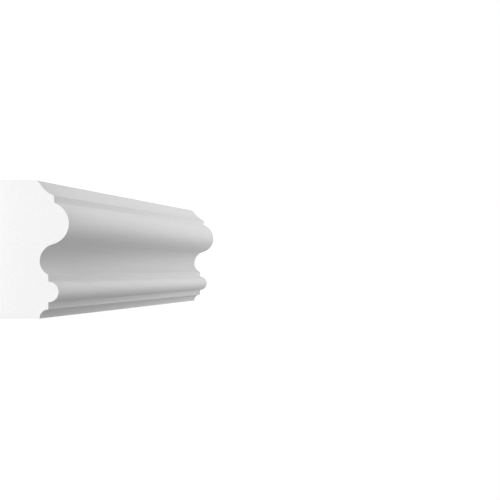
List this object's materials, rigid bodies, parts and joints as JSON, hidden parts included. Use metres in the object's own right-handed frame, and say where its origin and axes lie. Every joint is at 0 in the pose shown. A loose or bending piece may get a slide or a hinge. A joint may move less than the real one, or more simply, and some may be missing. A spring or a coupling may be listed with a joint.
{
  "type": "wall moulding",
  "caption": "Straight length of white wall moulding: flat back, square-cut ends and a face of coves, fillets, a torus, a scotia and a bead; glued to a wall as a rail or panel frame.",
  "frame": {"origin": "centre of the flat back, on the surface that the length lies on", "axes": "+X along the length, +Y across the face towards the top edge as mounted, +Z out of the face"},
  "size_m": [2, 0.05, 0.025],
  "materials": {
    "primed_white": "matte white primer on white rigid foam"
  },
  "bodies": {
    "root": {"moulding": "primed_white"}
  },
  "joints": []
}
